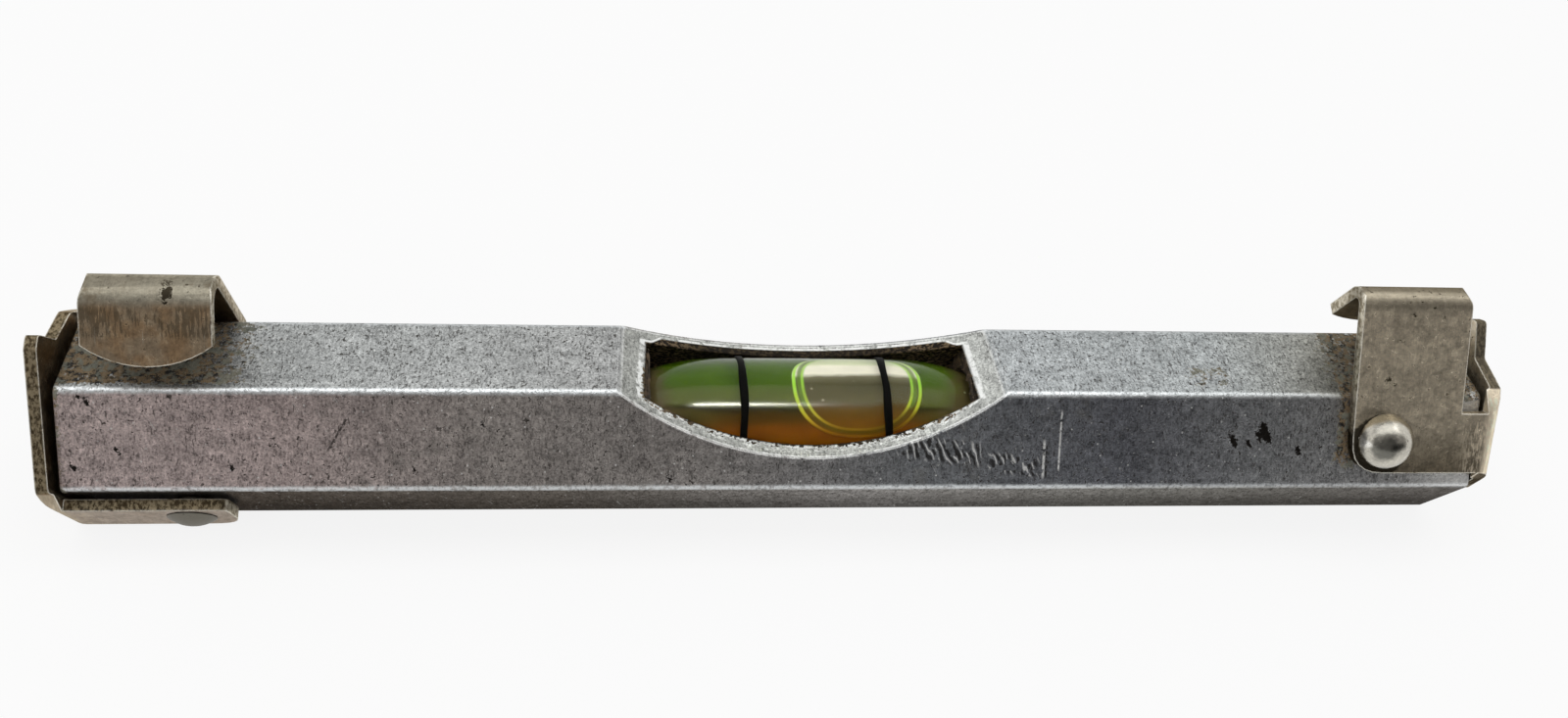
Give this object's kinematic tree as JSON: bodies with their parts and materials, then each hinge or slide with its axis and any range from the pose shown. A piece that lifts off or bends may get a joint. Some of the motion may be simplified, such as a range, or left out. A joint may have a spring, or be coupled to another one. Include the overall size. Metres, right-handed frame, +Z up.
{
  "type": "line level",
  "caption": "Hexagonal aluminium bar with a spirit vial behind a scooped window and a riveted steel string hook at each end.",
  "frame": {"origin": "centre of the bar's bottom flat, which the level rests on", "axes": "+X along the bar towards the right clip, +Y to the back, +Z up through the window"},
  "size_m": [0.0812, 0.0126, 0.0151],
  "materials": {
    "body_aluminium": "worn satin, pitted and scratched",
    "clip_steel": "worn nickel plate on sheet steel",
    "rivet_steel": "worn bright",
    "vial_glass": "clear, glossy",
    "vial_spirit": "clear green-yellow liquid",
    "vial_air": "clear",
    "line_paint": "black paint line",
    "stopper_rubber": "matt",
    "bed_putty": "hardened dark putty"
  },
  "bodies": {
    "level": {"body_tube": "body_aluminium", "vial_glass": "vial_glass", "vial_liquid": "vial_spirit", "vial_line_left": "line_paint", "vial_line_right": "line_paint", "vial_stopper": "stopper_rubber", "vial_bed_left": "bed_putty", "vial_bed_right": "bed_putty", "clip_left": "clip_steel", "clip_right": "clip_steel", "rivet_left": "rivet_steel", "rivet_right": "rivet_steel"},
    "bubble": {"vial_bubble": "vial_air"}
  },
  "joints": [
    {"name": "bubble_slide", "type": "slide", "parent": "level", "child": "bubble", "axis": [1, 0, 0], "range_m": [-0.0076, 0.0022]}
  ]
}
